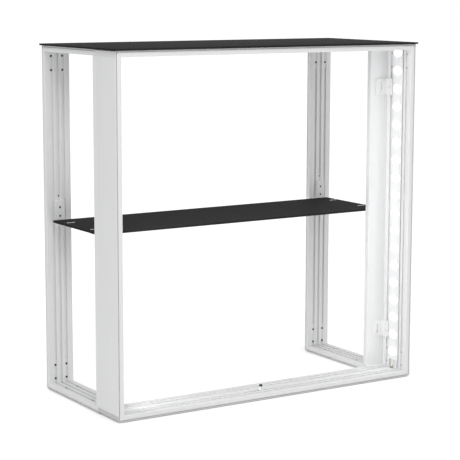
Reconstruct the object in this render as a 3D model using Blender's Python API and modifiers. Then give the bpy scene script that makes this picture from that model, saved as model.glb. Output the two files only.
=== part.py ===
"""Promotional counter: a mitred light frame, two side frames, a bracketed shelf and a loose top board.

Metres, +Z up. The origin is on the floor under the middle of the frame, and the front looks towards -Y.
"""
import math

import bmesh
import bpy
from mathutils import Matrix, Vector

# Overall frame
FRAME_WIDTH = 1.000
FRAME_DEPTH = 0.442
FRAME_HEIGHT = 1.000
FIT_GAP = 0.0003
WELD_DISTANCE = 0.00001

# Extruded aluminium profiles
PROFILE_THICKNESS = 0.017
FRONT_PROFILE_DEPTH = 0.112
SIDE_PROFILE_DEPTH = 0.078
EDGE_CHAMFER = 0.0005
BOTTOM_CORNER_RADIUS = 0.0055
TOP_CORNER_RADIUS = 0.002
CORNER_STEPS = 5
ROUND_STEPS = 3

# Slots for the edge strip of a textile panel
SLOT_LIP = 0.0018
SLOT_WIDTH = 0.003
SLOT_DEPTH = 0.009

# T-grooves in the inner faces, placed from the middle of the profile
GROOVE_MOUTH = 0.008
GROOVE_LIP = 0.0016
GROOVE_WIDTH = 0.0125
GROOVE_DEPTH = 0.0032
FRONT_OUTER_GROOVE = 0.0355
FRONT_INNER_GROOVE = 0.018
SIDE_OUTER_GROOVE = 0.0177

# Hollow chambers under the grooves
CHAMBER_WALL = 0.0018
FRONT_CHAMBER_COUNT = 3
SIDE_CHAMBER_COUNT = 2

# Corner brackets in the outer grooves
CORNER_LEG = 0.088

# Angle connectors between the front frame and the side frames
CONNECTOR_HEIGHT = 0.050
CONNECTOR_THICKNESS = 0.003
CONNECTOR_SIDE_LEG = 0.042
CONNECTOR_FRONT_LEG = 0.029
CONNECTOR_OFFSET = 0.130
CONNECTOR_HOLE_INSET = 0.025
CONNECTOR_SLOT_WIDTH = 0.006
CONNECTOR_SLOT_LENGTH = 0.028
CONNECTOR_HOLE_RADIUS = 0.0026
HOLE_SIDES = 10
SLOT_END_STEPS = 4

# Top board
BOARD_THICKNESS = 0.005
BOARD_OVERHANG = 0.006
BOARD_CORNER_RADIUS = 0.004
BOARD_CHAMFER = 0.0006

# Shelf
SHELF_HEIGHT = 0.4995
SHELF_THICKNESS = 0.006
SHELF_END_INSET = 0.015
SHELF_EDGE_CLEARANCE = 0.0007
SHELF_CORNER_RADIUS = 0.003

# Shelf brackets
BRACKET_WIDTH = 0.030
BRACKET_PLATE = 0.0065
BRACKET_RISE = 0.057
BRACKET_ARM = 0.0035
BRACKET_TOP_RADIUS = 0.008
BRACKET_HOLE_RADIUS = 0.0026
BRACKET_HOLE_HEIGHTS = (0.0115, 0.0365)
TAB_REACH = 0.075
TAB_THICKNESS = 0.003
TAB_WIDTH = 0.024
TAB_PROUD = 0.001
TAB_CLEARANCE = 0.0006
NUT_STRIP_ABOVE = 0.018
NUT_STRIP_BELOW = 0.012

# Edge-light bars on the front uprights
LED_BAR_WIDTH = 0.040
LED_BAR_THICKNESS = 0.0045
LED_BAR_CHAMFER = 0.0008
LED_BAR_BOTTOM = 0.041
LED_COUNT = 18
LED_FIRST = 0.0677
LED_LAST_INSET = 0.0272
LENS_BASE_WIDTH = 0.034
LENS_BASE_THICKNESS = 0.0012
LENS_LENGTH = 0.030
LENS_WIDTH = 0.019
LENS_RISE = 0.0048
LENS_CROWN = 0.6
LENS_SIDES = 12

# Leads, grommets and power inlet
LEAD_RADIUS = 0.0016
LEAD_INSET = 0.0085
LEAD_POINTS = 6
GROMMET_RADIUS = 0.0048
GROMMET_HEIGHT = 0.0025
INLET_ASIDE = -0.0155
INLET_FLANGE_RADIUS = 0.0072
INLET_FLANGE = 0.0018
INLET_BARREL_RADIUS = 0.0048
INLET_HEIGHT = 0.0165
INLET_BORE_RADIUS = 0.0033
INLET_BORE_DEPTH = 0.009
TURN_STEPS = 16

# Places worked out from the sizes above
HALF_WIDTH = FRAME_WIDTH / 2
FRONT_FACE = -FRAME_DEPTH / 2
REAR_FACE = FRAME_DEPTH / 2
FRONT_MIDDLE = FRONT_FACE + FRONT_PROFILE_DEPTH / 2
NEAR_FACE = FRONT_FACE + FRONT_PROFILE_DEPTH + FIT_GAP
SIDE_LENGTH = REAR_FACE - NEAR_FACE
SIDE_MIDDLE = (REAR_FACE + NEAR_FACE) / 2
SIDE_CENTRE = HALF_WIDTH - SIDE_PROFILE_DEPTH / 2
BAY_NEAR = NEAR_FACE + PROFILE_THICKNESS
BAY_REAR = REAR_FACE - PROFILE_THICKNESS
SHELF_UNDERSIDE = SHELF_HEIGHT - SHELF_THICKNESS
GROOVE_TOP = PROFILE_THICKNESS - GROOVE_LIP
GROOVE_FLOOR = GROOVE_TOP - GROOVE_DEPTH
LED_PITCH = (FRAME_HEIGHT - LED_LAST_INSET - LED_FIRST) / (LED_COUNT - 1)
QUARTER_TURN = math.radians(90)
THROUGH_Y = Matrix.Rotation(QUARTER_TURN, 4, "X")
THROUGH_X = Matrix.Rotation(QUARTER_TURN, 4, "Z") @ THROUGH_Y
SMOOTH_ANGLE = math.radians(50)
CHAMFER_ANGLE = math.radians(60)


def clear_scene():
    """Removes the objects that a new file starts with."""
    for item in list(bpy.data.objects):
        bpy.data.objects.remove(item)


def new_collection(name):
    """Collection in the scene."""
    collection = bpy.data.collections.new(name)
    bpy.context.scene.collection.children.link(collection)
    return collection


def finish(name, colour, roughness, metallic):
    """Principled material of one finish."""
    material = bpy.data.materials.new(name)
    material.use_nodes = True
    shader = material.node_tree.nodes["Principled BSDF"]
    shader.inputs["Base Color"].default_value = (*colour, 1.0)
    shader.inputs["Roughness"].default_value = roughness
    shader.inputs["Metallic"].default_value = metallic
    return material


clear_scene()
PARTS = new_collection("promotional_counter")
CUTTERS = new_collection("cutters")
ALUMINIUM = finish("anodised_aluminium", (0.66, 0.66, 0.67), 0.42, 0.9)
ZINC = finish("zinc_plated_steel", (0.55, 0.55, 0.56), 0.38, 1.0)
PALE_METAL = finish("pale_coated_steel", (0.62, 0.62, 0.63), 0.45, 0.6)
DARK_BOARD = finish("dark_laminate", (0.05, 0.05, 0.052), 0.55, 0.0)
LED_WHITE = finish("white_led_carrier", (0.86, 0.87, 0.88), 0.4, 0.0)
LENS = finish("clear_lens", (0.9, 0.92, 0.94), 0.12, 0.0)
BLACK = finish("black_rubber", (0.02, 0.02, 0.02), 0.6, 0.0)
LEAD = finish("pale_lead", (0.72, 0.68, 0.5), 0.5, 0.0)


def guide(name, place, turned=0.0):
    """Empty that carries a group of pieces, turned about Z by an angle in degrees."""
    empty = bpy.data.objects.new(name, None)
    empty.location = place
    empty.rotation_euler = (0, 0, math.radians(turned))
    PARTS.objects.link(empty)
    return empty


def piece(name, mesh, material, parent=None, place=(0, 0, 0), turned=(0, 0, 0)):
    """Named sub-part from a mesh, placed by its location and its angles in degrees."""
    item = bpy.data.objects.new(name, mesh)
    item.location = place
    item.rotation_euler = [math.radians(angle) for angle in turned]
    item.parent = parent
    if not mesh.materials:
        mesh.materials.append(material)
    PARTS.objects.link(item)
    return item


def closed_mesh(name, build):
    """Mesh from a bmesh, with its faces turned outwards."""
    bmesh.ops.recalc_face_normals(build, faces=build.faces)
    mesh = bpy.data.meshes.new(name)
    build.to_mesh(mesh)
    build.free()
    return mesh


def evaluated_mesh(item):
    """Welded mesh of an object as its modifiers leave it; the object itself is removed."""
    graph = bpy.context.evaluated_depsgraph_get()
    mesh = bpy.data.meshes.new_from_object(item.evaluated_get(graph))
    build = bmesh.new()
    build.from_mesh(mesh)
    bmesh.ops.transform(build, matrix=item.matrix_world, verts=build.verts)
    bmesh.ops.remove_doubles(build, verts=build.verts, dist=WELD_DISTANCE)
    bmesh.ops.recalc_face_normals(build, faces=build.faces)
    build.to_mesh(mesh)
    build.free()
    bpy.data.objects.remove(item)
    return mesh


def extruded(name, loops, thickness, matrix=None):
    """Flat outline, holes included, given a thickness about its plane."""
    curve = bpy.data.curves.new(name, "CURVE")
    curve.dimensions = "2D"
    curve.fill_mode = "BOTH"
    curve.extrude = thickness / 2
    for loop in loops:
        spline = curve.splines.new("POLY")
        spline.points.add(len(loop) - 1)
        for point, (x, y) in zip(spline.points, loop):
            point.co = (x, y, 0, 1)
        spline.use_cyclic_u = True
    item = bpy.data.objects.new(name, curve)
    item.matrix_world = matrix or Matrix.Identity(4)
    CUTTERS.objects.link(item)
    bpy.context.view_layer.update()
    return evaluated_mesh(item)


def cutter(name, mesh):
    """Hidden shape for a Boolean."""
    item = bpy.data.objects.new(name, mesh)
    item.hide_render = True
    item.display_type = "WIRE"
    CUTTERS.objects.link(item)
    return item


def combined(name, mesh, tool_mesh, operation):
    """Mesh joined with, or cut by, another mesh."""
    item = bpy.data.objects.new(name, mesh)
    CUTTERS.objects.link(item)
    change = item.modifiers.new("cut", "BOOLEAN")
    change.operation = operation
    change.object = cutter(name + "_tool", tool_mesh)
    bpy.context.view_layer.update()
    return evaluated_mesh(item)


def smoothed(mesh):
    """Shades the round faces of a mesh smooth and keeps its real edges sharp."""
    mesh.shade_smooth()
    mesh.set_sharp_from_angle(angle=SMOOTH_ANGLE)
    return mesh


def chamfered(mesh, width):
    """Chamfers the sharp edges of a mesh."""
    build = bmesh.new()
    build.from_mesh(mesh)
    sharp = [edge for edge in build.edges if edge.calc_face_angle(0) > CHAMFER_ANGLE]
    bmesh.ops.bevel(build, geom=sharp, offset=width, segments=1, affect="EDGES")
    build.to_mesh(mesh)
    build.free()
    return mesh


def arc(centre, radius, start, end, steps):
    """Points of an arc, with angles in degrees."""
    angles = [math.radians(start + (end - start) * k / steps) for k in range(steps + 1)]
    return [(centre[0] + radius * math.cos(a), centre[1] + radius * math.sin(a)) for a in angles]


def rounded_rectangle(half_x, half_y, radius):
    """Rectangle about the origin with round corners."""
    points = []
    for k, (side_x, side_y) in enumerate([(1, 1), (-1, 1), (-1, -1), (1, -1)]):
        centre = (side_x * (half_x - radius), side_y * (half_y - radius))
        points += arc(centre, radius, 90 * k, 90 * k + 90, ROUND_STEPS)
    return points


def slot_outline(centre, half_length, half_width):
    """Hole with round ends, long in its second direction."""
    straight = half_length - half_width
    top = arc((centre[0], centre[1] + straight), half_width, 0, 180, SLOT_END_STEPS)
    bottom = arc((centre[0], centre[1] - straight), half_width, 180, 360, SLOT_END_STEPS)
    return top + bottom


def round_hole(centre, radius):
    """Round hole as a polygon."""
    return arc(centre, radius, 0, 360 - 360 / HOLE_SIDES, HOLE_SIDES - 1)


# Profile sections: u runs across the profile, v from its outer face to its inner face

def edge_slot(edge):
    """Slot for the edge strip of a textile, in the edge at +u."""
    far = SLOT_LIP + SLOT_WIDTH
    floor = edge - SLOT_DEPTH
    return [(edge, SLOT_LIP), (floor, SLOT_LIP), (floor, far), (edge, far)]


def groove(centre):
    """T-groove in the inner face, from +u to -u."""
    mouth = GROOVE_MOUTH / 2
    width = GROOVE_WIDTH / 2
    half = [(mouth, PROFILE_THICKNESS), (mouth, GROOVE_TOP), (width, GROOVE_TOP), (width, GROOVE_FLOOR)]
    other = [(-u, v) for u, v in reversed(half)]
    return [(centre + u, v) for u, v in half + other]


def chambers(half, count):
    """Hollow chambers side by side, clear of the slots and of the grooves."""
    low = CHAMBER_WALL
    high = GROOVE_FLOOR - CHAMBER_WALL
    reach = half - SLOT_DEPTH - CHAMBER_WALL
    pitch = (2 * reach + CHAMBER_WALL) / count
    loops = []
    for k in range(count):
        left = -reach + k * pitch
        right = left + pitch - CHAMBER_WALL
        loops.append([(left, low), (right, low), (right, high), (left, high)])
    return loops


def section(depth, groove_places, chamber_count, slotted=True):
    """Outline and chambers of one profile."""
    half = depth / 2
    edge = [(half - EDGE_CHAMFER, 0), (half, EDGE_CHAMFER)]
    if slotted:
        edge += edge_slot(half)
    edge += [(half, PROFILE_THICKNESS - EDGE_CHAMFER), (half - EDGE_CHAMFER, PROFILE_THICKNESS)]
    outline = list(edge)
    for place in sorted(groove_places, reverse=True):
        outline += groove(place)
    outline += [(-u, v) for u, v in reversed(edge)]
    return [outline] + chambers(half, chamber_count)


# Bars: a filled section drawn out between two mitres

def filled_section(build, loops):
    """Faces of a section in the plane x = 0, with u along y and v along z."""
    edges = []
    for loop in loops:
        corners = [build.verts.new((0, u, v)) for u, v in loop]
        edges += [build.edges.new(pair) for pair in zip(corners, corners[1:] + corners[:1])]
    filled = bmesh.ops.triangle_fill(build, edges=edges, use_beauty=True, use_dissolve=False)
    return [element for element in filled["geom"] if isinstance(element, bmesh.types.BMFace)]


def corner_wedge(length, radius, end):
    """Outline, in x and z, of what rounds a bar's outer corner at its end towards -x or +x."""
    start = length / 2 - radius
    beyond = length / 2 + PROFILE_THICKNESS
    outline = [(start, -PROFILE_THICKNESS), (beyond, -PROFILE_THICKNESS), (beyond, radius)]
    outline += arc((start, radius), radius, 0, -90, CORNER_STEPS)
    return [(end * x, z) for x, z in outline]


def mitred_bar(name, loops, outer_length, radii):
    """Bar along x, outer face on z = 0, mitred at both ends, each outer corner rounded by its radius."""
    build = bmesh.new()
    faces = filled_section(build, loops)
    reach = outer_length / 2 - FIT_GAP / math.sqrt(2)
    for corner in build.verts:
        corner.co.x = corner.co.z - reach
    drawn = bmesh.ops.extrude_face_region(build, geom=faces)["geom"]
    for element in drawn:
        if isinstance(element, bmesh.types.BMVert):
            element.co.x = reach - element.co.z
    bar = closed_mesh(name, build)
    wedges = [corner_wedge(outer_length, radius, end) for radius, end in zip(radii, (-1, 1))]
    tool = extruded(name + "_wedges", wedges, 2 * FRONT_PROFILE_DEPTH, THROUGH_Y)
    return combined(name, bar, tool, "DIFFERENCE")


def corner_bracket_mesh():
    """Flat strip bent at a right angle for the groove round the corner on (0, 0), legs along +x and +z."""
    low = GROOVE_FLOOR + FIT_GAP
    high = GROOVE_TOP - FIT_GAP
    end = CORNER_LEG
    outline = [(low, low), (end, low), (end, high), (high, high), (high, end), (low, end)]
    return extruded("corner_bracket", [outline], GROOVE_WIDTH - 2 * FIT_GAP, THROUGH_Y)


def mitred_frame(name, carrier, width, depth, groove_places, chamber_count, sides, bracket_mesh, plain=()):
    """Four mitred bars round an opening, with a bracket in each outer groove at each corner."""
    slotted = section(depth, groove_places, chamber_count)
    smooth = section(depth, groove_places, chamber_count, slotted=False)
    low_side, high_side = sides
    half = width / 2
    top, bottom = TOP_CORNER_RADIUS, BOTTOM_CORNER_RADIUS
    rail = mitred_bar(name + "_bottom_rail", slotted, width, (bottom, bottom))
    piece(name + "_bottom_rail", rail, ALUMINIUM, carrier)
    rail = mitred_bar(name + "_top_rail", slotted, width, (top, top))
    piece(name + "_top_rail", rail, ALUMINIUM, carrier, (0, 0, FRAME_HEIGHT), (0, 180, 0))
    uprights = ((low_side, -half, 90, (top, bottom)), (high_side, half, -90, (bottom, top)))
    for side, x, angle, radii in uprights:
        loops = smooth if side in plain else slotted
        upright = mitred_bar(name + "_upright", loops, FRAME_HEIGHT, radii)
        place = (x, 0, FRAME_HEIGHT / 2)
        piece(f"{name}_{side}_upright", upright, ALUMINIUM, carrier, place, (0, angle, 0))
    corners = {
        f"bottom_{low_side}": (-half, 0, 0),
        f"top_{low_side}": (-half, FRAME_HEIGHT, 90),
        f"top_{high_side}": (half, FRAME_HEIGHT, 180),
        f"bottom_{high_side}": (half, 0, 270),
    }
    outer = max(groove_places)
    for corner, (x, z, angle) in corners.items():
        for row, y in (("a", -outer), ("b", outer)):
            label = f"{name}_{corner}_bracket_{row}"
            piece(label, bracket_mesh, ZINC, carrier, (x, y, z), (0, angle, 0))


def frames():
    """Front light frame and the two side frames behind it."""
    bracket_mesh = corner_bracket_mesh()
    front = guide("front_frame", (0, FRONT_MIDDLE, 0))
    pairs = (FRONT_INNER_GROOVE, FRONT_OUTER_GROOVE)
    front_grooves = [side * place for place in pairs for side in (-1, 1)]
    mitred_frame("front", front, FRAME_WIDTH, FRONT_PROFILE_DEPTH, front_grooves, FRONT_CHAMBER_COUNT,
                 ("left", "right"), bracket_mesh)
    side_grooves = [-SIDE_OUTER_GROOVE, 0, SIDE_OUTER_GROOVE]
    for name, side in (("left", -1), ("right", 1)):
        carrier = guide(name + "_frame", (side * SIDE_CENTRE, SIDE_MIDDLE, 0), 90)
        mitred_frame(name, carrier, SIDE_LENGTH, SIDE_PROFILE_DEPTH, side_grooves, SIDE_CHAMBER_COUNT,
                     ("near", "rear"), bracket_mesh, plain=("near",))


def connector_mesh(side):
    """Angle with its heel at the origin: a slotted leg inwards along x, a drilled leg forwards along -y."""
    inward = -side
    wall = CONNECTOR_THICKNESS
    heel = [(0, 0), (CONNECTOR_SIDE_LEG, 0), (CONNECTOR_SIDE_LEG, -wall)]
    inner = arc((2 * wall, -2 * wall), wall, 90, 180, ROUND_STEPS)
    toe = [(wall, -CONNECTOR_FRONT_LEG), (0, -CONNECTOR_FRONT_LEG)]
    outline = [(inward * x, y) for x, y in heel + inner + toe]
    angle = extruded("connector", [outline], CONNECTOR_HEIGHT)
    reach = 4 * wall
    half_length = CONNECTOR_SLOT_LENGTH / 2
    half_width = CONNECTOR_SLOT_WIDTH / 2
    side_hole = slot_outline((inward * CONNECTOR_HOLE_INSET, 0), half_length, half_width)
    angle = combined("connector_slot", angle, extruded("hole", [side_hole], reach, THROUGH_Y), "DIFFERENCE")
    groove_back = FRONT_PROFILE_DEPTH / 2 - FRONT_OUTER_GROOVE
    front_hole = round_hole((-groove_back, 0), CONNECTOR_HOLE_RADIUS)
    return combined("connector_hole", angle, extruded("hole", [front_hole], reach, THROUGH_X), "DIFFERENCE")


def connectors():
    """Four angles in the inner corners where the front uprights meet the near uprights."""
    heights = {"lower": CONNECTOR_OFFSET, "upper": FRAME_HEIGHT - CONNECTOR_OFFSET}
    for name, side in (("left", -1), ("right", 1)):
        mesh = connector_mesh(side)
        x = side * (HALF_WIDTH - PROFILE_THICKNESS - FIT_GAP)
        for level, z in heights.items():
            piece(f"{name}_{level}_connector", mesh, PALE_METAL, place=(x, NEAR_FACE - FIT_GAP, z))


def shelf_bracket_mesh():
    """Plate on the upright, arm under the shelf and tab through it.

    y runs from the upright's face, z from the shelf's underside.
    """
    arm_low = -FIT_GAP - BRACKET_ARM
    plate_top = SHELF_THICKNESS + BRACKET_RISE
    back = FIT_GAP
    front = FIT_GAP + BRACKET_PLATE
    tip = TAB_REACH + TAB_THICKNESS / 2
    outline = [(back, arm_low), (tip, arm_low), (tip, -FIT_GAP), (front, -FIT_GAP)]
    outline += [(front, plate_top), (back, plate_top)]
    body = extruded("shelf_bracket", [outline], BRACKET_WIDTH, THROUGH_X)
    build = bmesh.new()
    build.from_mesh(body)
    top = [edge for edge in build.edges if all(abs(v.co.z - plate_top) < FIT_GAP for v in edge.verts)]
    ends = [edge for edge in top if abs(edge.verts[0].co.x - edge.verts[1].co.x) < FIT_GAP]
    bmesh.ops.bevel(build, geom=ends, offset=BRACKET_TOP_RADIUS, segments=ROUND_STEPS, profile=0.5,
                    affect="EDGES")
    build.to_mesh(body)
    build.free()
    tab_top = SHELF_THICKNESS + TAB_PROUD
    tab_back = tip - TAB_THICKNESS
    tab_low = arm_low + BRACKET_ARM / 2
    tab = [(tab_back, tab_low), (tip, tab_low), (tip, tab_top), (tab_back, tab_top)]
    body = combined("shelf_bracket_tab", body, extruded("tab", [tab], TAB_WIDTH, THROUGH_X), "UNION")
    centres = [(0, SHELF_THICKNESS + height) for height in BRACKET_HOLE_HEIGHTS]
    holes = [round_hole(centre, BRACKET_HOLE_RADIUS) for centre in centres]
    drills = extruded("drills", holes, 4 * BRACKET_PLATE, THROUGH_Y)
    return combined("shelf_bracket_holes", body, drills, "DIFFERENCE")


def nut_strip_mesh():
    """Strip in the centre groove behind a bracket's plate, in the bracket's own frame."""
    half = GROOVE_WIDTH / 2 - FIT_GAP
    behind = -GROOVE_LIP - FIT_GAP
    deepest = -GROOVE_LIP - GROOVE_DEPTH + FIT_GAP
    low = -BRACKET_ARM - NUT_STRIP_BELOW
    high = SHELF_THICKNESS + BRACKET_RISE + NUT_STRIP_ABOVE
    outline = [(-half, low), (half, low), (half, high), (-half, high)]
    place = Matrix.Translation((0, (behind + deepest) / 2, 0)) @ THROUGH_Y
    return extruded("nut_strip", [outline], behind - deepest, place)


def shelf_mesh():
    """Board with a hole for each bracket's tab, about its own middle."""
    half_x = HALF_WIDTH - SHELF_END_INSET
    half_y = (BAY_REAR - BAY_NEAR) / 2 - FIT_GAP - BRACKET_PLATE - SHELF_EDGE_CLEARANCE
    hole_y = (BAY_REAR - BAY_NEAR) / 2 - TAB_REACH
    wide = TAB_WIDTH / 2 + TAB_CLEARANCE
    deep = TAB_THICKNESS / 2 + TAB_CLEARANCE
    loops = [rounded_rectangle(half_x, half_y, SHELF_CORNER_RADIUS)]
    for x in (-SIDE_CENTRE, SIDE_CENTRE):
        for y in (-hole_y, hole_y):
            near = [(x - wide, y - deep), (x + wide, y - deep)]
            loops.append(near + [(x + wide, y + deep), (x - wide, y + deep)])
    return extruded("shelf", loops, SHELF_THICKNESS)


def shelf_group():
    """Shelf, its four brackets and their nut strips, on one carrier that slides up and down the grooves."""
    bay_middle = (BAY_NEAR + BAY_REAR) / 2
    carrier = guide("shelf_carrier", (0, bay_middle, SHELF_UNDERSIDE))
    piece("shelf", shelf_mesh(), DARK_BOARD, carrier, (0, 0, SHELF_THICKNESS / 2))
    bracket = shelf_bracket_mesh()
    strip = nut_strip_mesh()
    half_bay = (BAY_REAR - BAY_NEAR) / 2
    for name, side in (("left", -1), ("right", 1)):
        for row, y, angle in (("near", -half_bay, 0), ("rear", half_bay, 180)):
            place = (side * SIDE_CENTRE, y, 0)
            piece(f"{name}_{row}_shelf_bracket", bracket, PALE_METAL, carrier, place, (0, 0, angle))
            piece(f"{name}_{row}_nut_strip", strip, ZINC, carrier, place, (0, 0, angle))


def top_board():
    """Loose dark board that lies on the frames and stands a little proud all round."""
    half_x = HALF_WIDTH + BOARD_OVERHANG
    half_y = FRAME_DEPTH / 2 + BOARD_OVERHANG
    outline = rounded_rectangle(half_x, half_y, BOARD_CORNER_RADIUS)
    mesh = chamfered(extruded("top_board", [outline], BOARD_THICKNESS), BOARD_CHAMFER)
    piece("top_board", mesh, DARK_BOARD, place=(0, 0, FRAME_HEIGHT + FIT_GAP + BOARD_THICKNESS / 2))


def led_bar_mesh():
    """Strip that stands on the upright's inner face, x = 0, towards -x."""
    top = FRAME_HEIGHT - PROFILE_THICKNESS - FIT_GAP
    half = LED_BAR_WIDTH / 2
    outline = [(-half, LED_BAR_BOTTOM), (half, LED_BAR_BOTTOM), (half, top), (-half, top)]
    place = Matrix.Translation((-FIT_GAP - LED_BAR_THICKNESS / 2, 0, 0)) @ THROUGH_X
    return chamfered(extruded("led_bar", [outline], LED_BAR_THICKNESS, place), LED_BAR_CHAMFER)


def lens_strip_mesh():
    """Moulded strip with an oval lens over each light, on the face of the light bar."""
    seat = -2 * FIT_GAP - LED_BAR_THICKNESS
    half = LENS_BASE_WIDTH / 2
    last = LED_FIRST + (LED_COUNT - 1) * LED_PITCH
    margin = LENS_WIDTH
    low = LED_FIRST - margin
    high = last + margin / 2
    outline = [(-half, low), (half, low), (half, high), (-half, high)]
    place = Matrix.Translation((seat - LENS_BASE_THICKNESS / 2, 0, 0)) @ THROUGH_X
    base = extruded("lens_base", [outline], LENS_BASE_THICKNESS, place)
    build = bmesh.new()
    depth = LENS_RISE + LENS_BASE_THICKNESS / 2
    middle = seat - LENS_BASE_THICKNESS / 2 - depth / 2
    oval = Matrix.Diagonal((LENS_WIDTH / LENS_LENGTH, 1, 1, 1))
    facing = Matrix.Rotation(-QUARTER_TURN, 4, "Y")
    for k in range(LED_COUNT):
        spot = Matrix.Translation((middle, 0, LED_FIRST + k * LED_PITCH)) @ facing @ oval
        bmesh.ops.create_cone(build, cap_ends=True, segments=LENS_SIDES, radius1=LENS_LENGTH / 2,
                              radius2=LENS_CROWN * LENS_LENGTH / 2, depth=depth, matrix=spot)
    return smoothed(combined("lens_strip", base, closed_mesh("lenses", build), "UNION"))


def lead_mesh():
    """Short lead from the light bar's lower end, in a slow S, down into its grommet."""
    start = Vector((-FIT_GAP - LED_BAR_THICKNESS / 2, 0, LED_BAR_BOTTOM - FIT_GAP))
    end = Vector((-LEAD_INSET, 0, PROFILE_THICKNESS + 2 * FIT_GAP))
    curve = bpy.data.curves.new("lead", "CURVE")
    curve.dimensions = "3D"
    curve.bevel_depth = LEAD_RADIUS
    curve.bevel_resolution = 1
    curve.use_fill_caps = True
    spline = curve.splines.new("POLY")
    spline.points.add(LEAD_POINTS - 1)
    for k, point in enumerate(spline.points):
        share = k / (LEAD_POINTS - 1)
        sway = (1 - math.cos(math.pi * share)) / 2
        point.co = (start.x + (end.x - start.x) * sway, 0, start.z + (end.z - start.z) * share, 1)
    item = bpy.data.objects.new("lead", curve)
    CUTTERS.objects.link(item)
    bpy.context.view_layer.update()
    return smoothed(evaluated_mesh(item))


def turned_mesh(name, profile, closed):
    """Shape turned about z from a profile of radius and height, run down its outer side."""
    mesh = bpy.data.meshes.new(name)
    corners = [(radius, 0, height) for radius, height in profile]
    links = [(k, k + 1) for k in range(len(corners) - 1)]
    if closed:
        links.append((len(corners) - 1, 0))
    mesh.from_pydata(corners, links, [])
    item = bpy.data.objects.new(name, mesh)
    CUTTERS.objects.link(item)
    screw = item.modifiers.new("turn", "SCREW")
    screw.steps = TURN_STEPS
    screw.render_steps = TURN_STEPS
    screw.use_merge_vertices = True
    screw.merge_threshold = WELD_DISTANCE
    bpy.context.view_layer.update()
    return smoothed(evaluated_mesh(item))


def grommet_mesh():
    """Rubber ring that stands on the rail's inner face round the lead."""
    bore = LEAD_RADIUS + FIT_GAP
    low = PROFILE_THICKNESS + FIT_GAP
    high = low + GROMMET_HEIGHT
    shoulder = (GROMMET_RADIUS + bore) / 2
    middle = (low + high) / 2
    outer = GROMMET_RADIUS
    profile = [(bore, high), (shoulder, high), (outer, middle), (outer, low), (bore, low)]
    return turned_mesh("grommet", profile, closed=True)


def lights():
    """Light bar, lens strip, lead and grommet on the inner face of each front upright."""
    bar = led_bar_mesh()
    lenses = lens_strip_mesh()
    lead = lead_mesh()
    ring = grommet_mesh()
    for name, side, angle in (("right", 1, 0), ("left", -1, 180)):
        x = side * (HALF_WIDTH - PROFILE_THICKNESS)
        seat = guide(name + "_light", (x, FRONT_MIDDLE, 0), angle)
        piece(name + "_led_bar", bar, LED_WHITE, seat)
        piece(name + "_lens_strip", lenses, LENS, seat)
        piece(name + "_led_lead", lead, LEAD, seat)
        piece(name + "_lead_grommet", ring, BLACK, seat, (-LEAD_INSET, 0, 0))


def power_inlet():
    """Small upright socket on the bottom rail, over the front inner groove."""
    bore_floor = INLET_HEIGHT - INLET_BORE_DEPTH
    profile = [
        (0, bore_floor),
        (INLET_BORE_RADIUS, bore_floor),
        (INLET_BORE_RADIUS, INLET_HEIGHT),
        (INLET_BARREL_RADIUS, INLET_HEIGHT),
        (INLET_BARREL_RADIUS, INLET_FLANGE),
        (INLET_FLANGE_RADIUS, INLET_FLANGE),
        (INLET_FLANGE_RADIUS, 0),
        (0, 0),
    ]
    mesh = turned_mesh("power_inlet", profile, closed=False)
    y = FRONT_MIDDLE - FRONT_INNER_GROOVE
    piece("power_inlet", mesh, ZINC, place=(INLET_ASIDE, y, PROFILE_THICKNESS + FIT_GAP))


frames()
connectors()
shelf_group()
top_board()
lights()
power_inlet()
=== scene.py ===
"""Looks of the promotional counter: profiles with eased edges, fasteners, lights and finishes round the fixed frame."""
import math

import bmesh
import bpy
import numpy as np
from mathutils import Matrix, Vector


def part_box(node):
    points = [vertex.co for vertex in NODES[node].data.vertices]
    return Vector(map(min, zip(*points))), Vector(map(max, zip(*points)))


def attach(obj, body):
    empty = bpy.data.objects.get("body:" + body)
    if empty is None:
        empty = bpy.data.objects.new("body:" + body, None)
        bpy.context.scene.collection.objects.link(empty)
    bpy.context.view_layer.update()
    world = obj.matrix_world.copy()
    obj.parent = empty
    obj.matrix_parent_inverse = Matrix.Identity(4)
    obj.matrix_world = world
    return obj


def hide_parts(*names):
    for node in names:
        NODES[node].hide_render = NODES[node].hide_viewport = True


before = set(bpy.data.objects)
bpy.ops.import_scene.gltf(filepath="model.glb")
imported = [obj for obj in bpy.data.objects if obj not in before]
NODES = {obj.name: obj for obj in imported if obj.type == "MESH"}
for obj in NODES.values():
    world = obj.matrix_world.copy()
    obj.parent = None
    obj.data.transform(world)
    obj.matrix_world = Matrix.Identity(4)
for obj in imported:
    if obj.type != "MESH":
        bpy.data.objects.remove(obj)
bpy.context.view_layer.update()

# Places taken from the frame
LEFT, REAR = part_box("left_rear_upright")[0].x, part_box("left_rear_upright")[1].y
RIGHT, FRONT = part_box("front_right_upright")[1].x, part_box("front_right_upright")[0].y
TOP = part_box("front_top_rail")[1].z
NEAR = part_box("left_near_upright")[0].y
FRONT_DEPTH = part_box("front_left_upright")[1].y - FRONT
SIDE_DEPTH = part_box("left_rear_upright")[1].x - LEFT
SHELF_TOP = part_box("shelf")[1].z

# Profile sections
THICKNESS = 0.017
SLOT_LIP = 0.0018
SLOT_WIDTH = 0.003
SLOT_DEPTH = 0.009
GROOVE_MOUTH = 0.008
GROOVE_LIP = 0.0016
GROOVE_WIDTH = 0.0125
GROOVE_DEPTH = 0.0032
FRONT_GROOVES = (0.0355, 0.018, -0.018, -0.0355)
SIDE_GROOVES = (0.0177, 0.0, -0.0177)
FIT_GAP = 0.0003

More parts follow.
